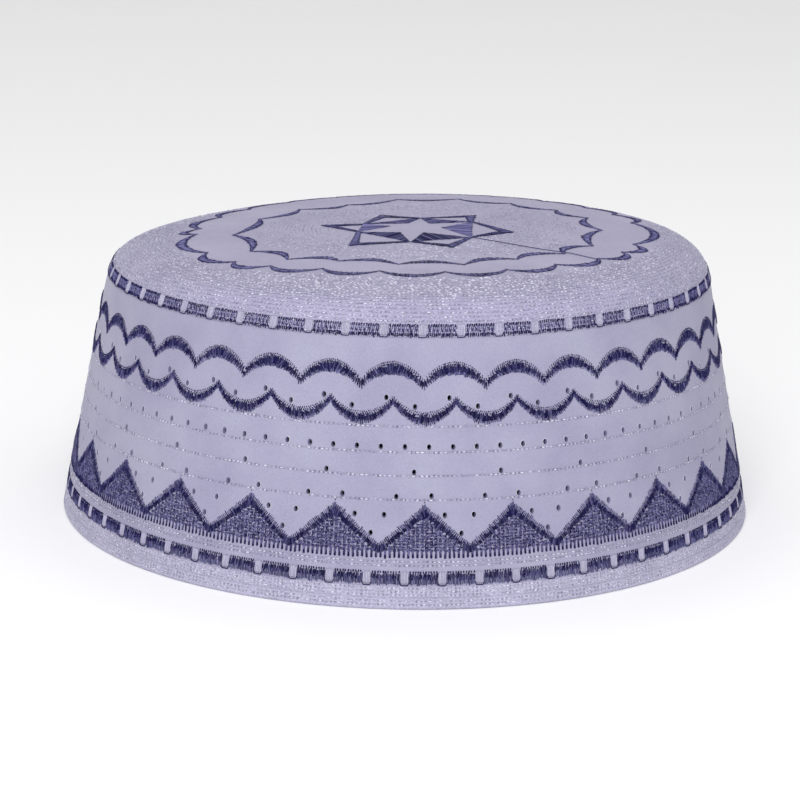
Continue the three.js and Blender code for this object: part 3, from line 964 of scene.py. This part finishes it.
sewCrown()

sideStitching = {"seed": 22, "girth": 0.42 * mm, "length": 0.66 * mm, "lift": 0.0, "slant": 0.05 * mm,
                 "wander": 0.05 * mm, "drift": 0.1, "bright": 0.52, "glint": 0.48}
hemStitching = {"seed": 23, "girth": 0.36 * mm, "length": 0.66 * mm, "lift": 0.06 * mm, "slant": 0.12 * mm,
                "wander": 0.1 * mm, "drift": 0.2, "bright": 0.55, "glint": 0.5}


def sewRows(name, heights, style, pitch, slotName):
    rng = np.random.default_rng(style["seed"])
    bundle = newBundle()
    for height in heights:
        radius = rowRadius(height)
        unit = {"run": radius, "rise": 1, "scale": radius}
        stitchRow(bundle, sideSpot(height), round(fullTurn * radius / pitch), height, style, unit, rng)
    whitePiece(name, bundle, slotName)


sewRows("sideStitches", sideCloth["rows"], sideStitching, sidePitch, "smooth_cloth")
sewRows("hemStitches", hemCloth["rows"], hemStitching, stitchPitch, "quilted_cloth")


def rimEyelets():
    rng = np.random.default_rng(eyelet["seed"])
    bundle = newBundle()
    turn, height = np.array(eyelets).T
    point, up = framed(turnSpot, turn, height, turnStep)
    along = np.stack([np.cos(turn), np.sin(turn), 0 * turn], 1)
    shades = rng.uniform(*eyelet["shades"], len(turn))
    addPoints(bundle, point + up * eyelet["lift"], along, up, 1, shades, 1.0)
    settings = {"Hole radius": eyelet["radius"], "Rim thread": eyelet["rimThread"],
                "Corners": eyelet["corners"], "Width share": eyelet["widthShare"], "Thread": whiteThread}
    dress(growPiece("eyeletRims", bundle, eyeletTree, settings), "smooth_cloth")


rimEyelets()
print("white stitching sewn")


# embroidery

# how far hatched stitches vary, and how round a crescent is, between a parabola and an ellipse
embroidery = {"samples": 200, "spacing": 0.06, "girth": 0.08, "lift": 0.02, "roundness": 0.25}


# stitches between an upper and a lower edge, in layers. Both edges run along the cloth by a share
# from 0 to 1; near and far say how deep each layer lies between them, and gather pulls the feet inward.
def hatch(bundle, spot, edges, layers, rng):
    for layer in layers:
        starts, ends = [], []
        for upper, lower, gather in edges:
            fine = np.linspace(0, 1, embroidery["samples"])
            walked = np.linalg.norm(np.diff(upper(fine), axis=0), axis=1).sum()
            count = max(3, round(walked / (layer["pitch"] * mm)))
            share = (np.arange(count) + 0.5 + rng.normal(0, embroidery["spacing"], count)) / count
            head, base = upper(share), lower(share + gather(share))
            for places, depth in ((starts, layer["near"]), (ends, layer["far"])):
                places.append(head + (base - head) * (depth + rng.normal(0, layer["loose"], count))[:, None])
        starts, ends = np.concatenate(starts), np.concatenate(ends)
        shades = tones(rng, layer["shade"], layer["mottle"], len(starts))
        girth = layer["girth"] * mm * (1 + rng.normal(0, embroidery["girth"], len(starts)))
        lift = layer["lift"] * mm + rng.normal(0, embroidery["lift"], len(starts)) * mm
        sew(bundle, spot, starts, ends, girth, lift, shades)


def ungathered(share):
    return 0 * share


def archOf(share):
    off, roundness = np.clip(2 * share - 1, -1, 1), embroidery["roundness"]
    return (1 - roundness) * (1 - off ** 2) + roundness * np.sqrt(1 - off ** 2)


# each row of scallops, by the height of its cusps and how far its crests rise from them
scallops = {
    "copies": 35,
    "upper": {"turn": 2.6, "top": 54.5 * mm, "topRise": 4.6 * mm, "foot": 51.8 * mm, "footRise": 4.15 * mm,
              "seed": 31, "gather": 0.13},
    "lower": {"turn": -2.3, "top": 51.1 * mm, "topRise": -4.05 * mm, "foot": 49.1 * mm,
              "footRise": -5.15 * mm, "seed": 32, "gather": -0.1},
    "layers": threadLayers((0.6, 1.02, 0.40, 0.38, 0.08, 0.46, 0.05, 0.24),
                           (0.3, 0.82, 0.37, 0.48, 0.15, 0.08, 0.07, 0.16),
                           (0.15, 0.32, 0.58, 0.36, 0.1, 0.12, 0.03, 0.12),
                           (0.0, 0.12, 0.60, 0.34, 0.06, 0.12, 0.02, 0.12)),
}


def sewScallops(which, name, node):
    row = scallops[which]
    rng = np.random.default_rng(row["seed"])
    bundle = newBundle()
    level = row["top"] + row["topRise"] / 2
    radius = rowRadius(level)
    pitch = fullTurn / scallops["copies"]

    def edge(copy, height, rise):
        first = math.radians(row["turn"])
        return lambda share: pair((first + (copy + share) * pitch) * radius, height + rise * archOf(share))

    def gather(share):
        return row["gather"] * np.sin(math.pi * share) * (1 - 2 * share) * 2

    edges = [(edge(copy, row["top"], row["topRise"]), edge(copy, row["foot"], row["footRise"]), gather)
             for copy in range(scallops["copies"])]
    hatch(bundle, sideSpot(level), edges, scallops["layers"], rng)
    darkPiece(name, bundle, node)


sewScallops("upper", "upperScallopThreads", "upper_scallop_embroidery")
sewScallops("lower", "lowerScallopThreads", "lower_scallop_embroidery")


def dashLayers(*rows):  # how high each layer starts and ends, and its sizes, in mm, then its shade
    columns = ("near", "far", "pitch", "girth", "lift", "loose", "lean")
    return [dict(zip(columns, (size * mm for size in sizes)), shade=shade) for *sizes, shade in rows]


dashes = {
    "upper": {
        "copies": 55, "turn": 2.2, "gap": 2.3 * mm, "foot": 64.95 * mm, "seed": 41, "tab": 3.1 * mm,
        "cloth": "quilted_cloth",
        "layers": dashLayers((0.5, 2.7, 0.50, 0.30, 0.1, 0.2, 0.3, 0.6),
                             (0.7, 2.1, 0.95, 0.34, 0.14, 0.4, -0.5, 0.12),
                             (0.0, 0.85, 0.46, 0.42, 0.16, 0.14, 0.0, 0.02),
                             (2.4, 3.05, 0.60, 0.40, 0.18, 0.1, 0.2, 0.02)),
    },
    "lower": {
        "copies": 64, "turn": 0, "gap": 2.15 * mm, "foot": 5.95 * mm, "seed": 42, "tab": 3.2 * mm,
        "cloth": "smooth_cloth",
        "layers": dashLayers((0.0, 2.1, 0.44, 0.42, 0.1, 0.16, -0.2, 0.4),
                             (1.2, 2.8, 0.42, 0.44, 0.15, 0.25, 0.15, 0.08),
                             (2.8, 3.35, 0.62, 0.44, 0.12, 0.04, 0.0, 0.02)),
    },
    "topLoose": 0.6,  # of the foot's looseness
    "mottle": 0.14,
    "girthSpread": 0.1,
    "leanSpread": 0.08 * mm,
    "threadGirth": 0.3 * mm,
    "threadShade": 0.08,
    "dip": 0.12 * mm,
    "dipPoints": 11,
    "corner": 0.75 * mm,
    "sharpness": 9,
    "tabGirth": 0.62 * mm,
    "tabPitch": 0.38 * mm,
    "tabHeads": [0.95, 1, 1.02, 1, 0.95],  # shares of the tab's height
    "tabFlatness": 0.35,
    "tabShades": (0, 0.15),
    "tabFoot": 0.12 * mm,
    "lift": 0.1 * mm,
}


def sewDashes(which, name, node):
    row = dashes[which]
    rng = np.random.default_rng(row["seed"])
    bundle, tabs = newBundle(), newBundle()
    radius, spot = rowRadius(row["foot"]), sideSpot(row["foot"])
    pitch = fullTurn * radius / row["copies"]
    middles = [math.radians(row["turn"]) * radius + copy * pitch for copy in range(row["copies"])]
    width = pitch - row["gap"]
    for layer in row["layers"]:
        starts, ends = [], []
        for middle in middles:
            count = round(width / layer["pitch"])
            run = middle + row["gap"] / 2 + (np.arange(count) + 0.5) / count * width - layer["lean"] / 2
            low = row["foot"] + layer["near"] + rng.normal(0, layer["loose"], count)
            high = row["foot"] + layer["far"] + rng.normal(0, layer["loose"] * dashes["topLoose"], count)
            starts.append(pair(run, low))
            ends.append(pair(run + layer["lean"] + rng.normal(0, dashes["leanSpread"], count), high))
        starts, ends = np.concatenate(starts), np.concatenate(ends)
        shade = tones(rng, layer["shade"], dashes["mottle"], len(starts))
        girth = layer["girth"] * (1 + rng.normal(0, dashes["girthSpread"], len(starts)))
        sew(bundle, spot, starts, ends, girth, layer["lift"], shade)
    across = np.linspace(-1, 1, dashes["dipPoints"])
    dip = row["foot"] - dashes["dip"] + dashes["corner"] * np.abs(across) ** dashes["sharpness"]
    heads = np.array(dashes["tabHeads"])
    base = row["foot"] + dashes["tabFoot"]
    for middle in middles:  # a dark thread dips under each gap, and a pale tab fills it
        path = pair(middle + across * row["gap"] * 0.5, dip)
        runThread(bundle, spot, path, dashes["threadGirth"], dashes["lift"], dashes["threadShade"])
        run = middle + (np.arange(len(heads)) - len(heads) // 2) * dashes["tabPitch"]
        sew(tabs, spot, pair(run, base), pair(run, base + heads * row["tab"]), dashes["tabGirth"],
            dashes["lift"], rng.uniform(*dashes["tabShades"], len(heads)))
    darkPiece(name, bundle, node)
    whitePiece(which + "DashTabs", tabs, row["cloth"], dashes["tabFlatness"])


sewDashes("upper", "upperDashThreads", "upper_dash_embroidery")
sewDashes("lower", "lowerDashThreads", "lower_dash_embroidery")

zigzag = {
    "copies": 26,
    "turn": 2.93,  # first apex
    "top": {"valley": 15.7 * mm, "apex": 25.2 * mm},
    "foot": {"valley": 13.3 * mm, "apex": 22.1 * mm},
    "gather": 0.13,
    "base": 12.35 * mm,
    "fringeTop": 14.0 * mm,
    "pairs": 20,  # of columns, from valley to valley
    "pairing": 0.25 * mm,
    "link": 0.67 * mm,
    "fan": 9,  # stitches in each valley
    "level": 17 * mm,  # where the chart is flat
    # from here sizes are in mm, and a shade in two numbers is its middle and spread
    "filling": {"girth": 0.48, "lift": 0.1, "shade": (0.5, 0.3)},
    "linked": {"reach": 0.34, "girth": 0.44, "lift": 0.14, "shade": (0.14, 0.18)},
    "open": {"reach": 0.38, "girth": 0.38, "lift": 0.14, "shade": (0.4, 0.18), "share": 0.75},
    "ticks": {"girth": 0.7, "lift": 0.08, "shade": (0.32, 0.14)},
    "fanTop": {"wide": 1.0, "dip": 0.35, "rise": 0.5},
    "fanFoot": {"wide": 1.7, "dip": -0.2, "rise": 0.6},
    "fanThread": {"girth": 0.42, "lift": 0.2, "shade": (0.12, 0.12)},
    # shares of a link, but open's in mm
    "steps": {"upright": (0.2, 0.8), "crossing": (0.3, 0.7), "open": (-0.2, 0.2)},
    "roof": 0.5,  # how far the filling runs in under the edge
    "sway": 0.07,
    "tilt": 0.14,
    "tickSpread": {"foot": 0.1, "head": 0.2, "lean": 0.08},
    "tickRise": 0.5,  # over the foot of the filling
    "tickFeet": {"height": 1.1, "girth": 0.62, "lift": 0.13, "shade": 0.04},
    "dots": {"rise": 0.3, "girth": 0.3, "lift": 0.12, "shade": 0.1},
    "layers": threadLayers((-0.03, 0.52, 0.48, 0.36, 0.08, 0.34, 0.06, 0.18),
                           (0.38, 1.0, 0.40, 0.50, 0.15, 0.08, 0.07, 0.16)),
    "seed": 51,
}


def sewZigzag():
    rng = np.random.default_rng(zigzag["seed"])
    bundle = newBundle()
    radius, spot = rowRadius(zigzag["level"]), sideSpot(zigzag["level"])
    pitch = fullTurn * radius / zigzag["copies"]
    top, foot, link, fringeTop = zigzag["top"], zigzag["foot"], zigzag["link"], zigzag["fringeTop"]
    steps, spread = zigzag["steps"], zigzag["tickSpread"]
    slope = (foot["apex"] - foot["valley"]) / (pitch / 2)
    apexes = [math.radians(zigzag["turn"]) * radius + copy * pitch for copy in range(zigzag["copies"])]

    def flank(apex, heights, way):
        rise = heights["apex"] - heights["valley"]
        return lambda share: pair(apex - way * pitch / 2 * (1 - share), heights["valley"] + rise * share)

    def gather(share):
        return zigzag["gather"] * np.sqrt(np.abs(np.sin(math.pi * np.clip(share, 0, 1))))

    edges = [(flank(apex, top, way), flank(apex, foot, way), gather) for apex in apexes for way in (1, -1)]
    hatch(bundle, spot, edges, zigzag["layers"], rng)
    upright, crossing, between, ticks = [], [], [], []
    for apex in apexes:
        for column in range(zigzag["pairs"]):
            off = (column + 0.5) / zigzag["pairs"] * pitch - pitch / 2
            ticks.append(apex + off)
            roof = foot["apex"] - slope * abs(off) + zigzag["roof"] * mm
            for step in range(max(0, int((roof - fringeTop) / link))):
                for way in (-1, 1):
                    height = fringeTop + (step + rng.uniform(*steps["upright"])) * link
                    upright.append((apex + off + way * zigzag["pairing"], height))
                height = fringeTop + (step + rng.uniform(*steps["crossing"])) * link
                crossing.append((apex + off, height))
                if rng.random() < zigzag["open"]["share"]:
                    aside = pitch / zigzag["pairs"] / 2
                    between.append((apex + off + aside, height + rng.uniform(*steps["open"]) * mm))
    upright, crossing, between, ticks = (np.array(part) for part in (upright, crossing, between, ticks))

    def sewPart(look, starts, ends):
        shades = tones(rng, *look["shade"], len(starts))
        sew(bundle, spot, starts, ends, look["girth"] * mm, look["lift"] * mm, shades)

    sway = pair(rng.normal(0, zigzag["sway"], len(upright)) * mm, link * 0.5)
    sewPart(zigzag["filling"], upright - sway, upright + sway)
    for part, look in ((crossing, zigzag["linked"]), (between, zigzag["open"])):
        half = pair(look["reach"] * mm, rng.normal(0, zigzag["tilt"], len(part)) * mm)
        sewPart(look, part - half, part + half)
    fan = np.tile(np.linspace(-1, 1, zigzag["fan"]), len(apexes))
    valleys = np.repeat(np.array(apexes) + pitch / 2, zigzag["fan"])

    def fanEdge(height, look):
        lift = (look["rise"] * np.abs(fan) - look["dip"]) * mm
        return pair(valleys + fan * look["wide"] * mm, height + lift)

    fanTop, fanFoot = fanEdge(top["valley"], zigzag["fanTop"]), fanEdge(foot["valley"], zigzag["fanFoot"])
    sewPart(zigzag["fanThread"], fanTop, fanFoot)
    low = zigzag["base"] + rng.normal(0, spread["foot"], len(ticks)) * mm
    high = fringeTop + zigzag["tickRise"] * mm + rng.normal(0, spread["head"], len(ticks)) * mm
    lean = rng.normal(0, spread["lean"], len(ticks)) * mm
    sewPart(zigzag["ticks"], pair(ticks, low), pair(ticks + lean, high))
    feet, dots = zigzag["tickFeet"], zigzag["dots"]
    sew(bundle, spot, pair(ticks, low), pair(ticks, low + feet["height"] * mm), feet["girth"] * mm,
        feet["lift"] * mm, feet["shade"])
    places = pair(np.array(apexes), top["apex"] + dots["rise"] * mm)
    sew(bundle, spot, places, places + np.array([0, dots["rise"] * mm]), dots["girth"] * mm,
        dots["lift"] * mm, dots["shade"])
    darkPiece("zigzagThreads", bundle, "zigzag_embroidery")


sewZigzag()


def sewCrownRing(which, name, node):
    ring = crownRings[which]
    bundle = newBundle()
    cusps = ring["cusps"]
    tip, depth, slimmer = crownRings["tipShare"], crownRings["depth"], crownRings["slimmer"]

    def edge(index, side):
        (turn, reach), (nextTurn, nextReach) = cusps[index], cusps[(index + 1) % len(cusps)]
        nextTurn += 360 if index == len(cusps) - 1 else 0

        def place(share):
            at = np.radians(turn + (nextTurn - turn) * share)
            half = side * depth / 2 * (tip + (1 - tip) * np.sin(math.pi * np.clip(share, 0, 1)))
            half = half * (1 - slimmer * (1 - np.cos(at)))
            line = ring["radius"] * (reach + (nextReach - reach) * share)
            far = line + ring["bulge"] * archOf(share) + half
            return pair(far * np.sin(at), -far * np.cos(at))
        return place

    edges = [(edge(index, 1), edge(index, -1), ungathered) for index in range(len(cusps))]
    hatch(bundle, motifSpot, edges, crownRings["layers"], np.random.default_rng(ring["seed"]))
    if which == "outer":
        thread = crownRings["jumpThread"]
        path = np.array(crownRings["jump"]) * mm
        runThread(bundle, motifSpot, path, thread["girth"], thread["lift"], thread["shade"])
    darkPiece(name, bundle, node, crownRings["flatness"])


sewCrownRing("outer", "crownOuterThreads", "crown_outer_scallops")
sewCrownRing("inner", "crownInnerThreads", "crown_inner_scallops")

# the facets' and edges' shades go with the tips, the edges' by the edge before and the edge after each. These
# shades are painted sheen: facets and edges are paler or darker by how their threads run to the light
starStitching = {
    "line": 2.1 * mm,
    "tipReach": 1.9,  # times the line
    "footReach": 0.75,
    "facetPitch": (0.34, 0.16),  # in mm, and what a pale facet adds
    "facetSheens": [0.15, 0.6, 0.25, 0.2, 0.55, 0.12],
    "edgeSheens": [(0.15, 0.42), (0.2, 0.3), (0.42, 0.2), (0.2, 0.5), (0.2, 0.25), (0.6, 0.15)],
    "seed": 71,
}


def sewStar():
    rng = np.random.default_rng(starStitching["seed"])
    bundle = newBundle()
    tips, waists, cores = (np.array(starMotif[key]) * mm for key in ("tips", "waists", "cores"))
    line = starStitching["line"]

    def straight(first, last):
        return lambda share: first + (last - first) * share[:, None]

    for index, tip in enumerate(tips):
        before, after, core = waists[index - 1], waists[index], cores[index]
        middle = (before + after) / 2
        inner = tip + (middle - tip) / np.linalg.norm(middle - tip) * line * starStitching["tipReach"]
        across = (after - before) / np.linalg.norm(after - before) * line * starStitching["footReach"]
        ways = (((before, tip), (before + across, inner)), ((tip, after), (inner, after - across)))
        # painted sheen on the outline's edges
        for (outer, inside), shade in zip(ways, starStitching["edgeSheens"][index]):
            layers = threadLayers((0.0, 1.0, 0.36, 0.40, 0.12, shade, 0.03, 0.25),
                                  (-0.03, 0.22, 0.44, 0.34, 0.18, shade * 0.5, 0.03, 0.12),
                                  (0.8, 1.03, 0.44, 0.34, 0.18, shade * 0.5, 0.03, 0.12))
            hatch(bundle, motifSpot, [(straight(*outer), straight(*inside), ungathered)], layers, rng)

        def roof(share, before=before, after=after, rise=core - middle):  # the two sides towards the core
            return straight(before, after)(share) + rise * (1 - np.abs(2 * share - 1))[:, None]

        # painted sheen: a facet whose threads run towards the light is painted paler
        facetSheen = starStitching["facetSheens"][index]
        pitch, paler = starStitching["facetPitch"]
        facet = threadLayers((0.0, 1.0, pitch + paler * facetSheen, 0.38, 0.1, facetSheen, 0.02, 0.35))
        hatch(bundle, motifSpot, [(straight(before, after), roof, ungathered)], facet, rng)
    darkPiece("crownStarThreads", bundle, "crown_star", crownRings["flatness"])


sewStar()
print("embroidery sewn")


# floor, light and camera

studio = {
    "floorWidth": 9.0,
    "floorRoughness": 0.7,
    "floorClouds": 3.0,  # per metre
    "floorTones": ((0.93, 0.93, 0.94, 1), (0.95, 0.95, 0.96, 1)),
    "world": 0.75,
    "lamps": [{"place": (-0.16, -1.6, 0.85), "size": 1.0, "power": 20.8},
              {"place": (0.1, -0.7, 1.5), "size": 0.9, "power": 3.0}],
    "aim": (0, 0, 0.035),
}


def makeFloor():
    half = studio["floorWidth"] / 2
    points = np.array([(-half, -half, 0), (half, -half, 0), (half, half, 0), (-half, half, 0)])
    material, tree, shader = newMaterial("paleFloor", studio["floorRoughness"], 0.0)
    place = addNode(tree, "ShaderNodeTexCoord").outputs["Object"]
    colour = mixed(tree, noiseOf(tree, place, studio["floorClouds"]), *studio["floorTones"])
    tree.links.new(colour, shader.inputs["Base Color"])
    meshFrom("floor", points, [(0, 1, 2, 3)], {}, material)


def makeLight():
    world = bpy.data.worlds.new("studio")
    world.use_nodes = True
    back = world.node_tree.nodes["Background"]
    back.inputs["Color"].default_value = (1, 1, 1, 1)
    back.inputs["Strength"].default_value = studio["world"]
    bpy.context.scene.world = world
    for lamp in studio["lamps"]:
        light = bpy.data.lights.new("softLight", "AREA")
        light.energy, light.size = lamp["power"], lamp["size"]
        holder = linked("softLight", light)
        holder.location = lamp["place"]
        aim = np.array(studio["aim"]) - np.array(lamp["place"])
        holder.rotation_euler = (math.acos(-aim[2] / np.linalg.norm(aim)), 0, math.atan2(-aim[0], aim[1]))


photoCamera = {"place": (-1.77 * mm, -620.3 * mm, 190.75 * mm), "down": 14.743, "roll": 0.016, "lens": 103.6,
               "sensor": 36, "clip": (0.01, 50)}


def makeCamera():
    camera = linked("photoCamera", bpy.data.cameras.new("photoCamera"))
    camera.data.sensor_width, camera.data.lens = photoCamera["sensor"], photoCamera["lens"]
    camera.data.clip_start, camera.data.clip_end = photoCamera["clip"]
    camera.location = photoCamera["place"]
    camera.rotation_euler = (math.radians(90 - photoCamera["down"]), 0, 0)
    camera.rotation_euler.rotate_axis("Z", photoCamera["roll"])
    bpy.context.scene.camera = camera


makeFloor()
makeLight()
makeCamera()
bpy.context.scene.view_settings.view_transform = "Standard"
print("studio set")
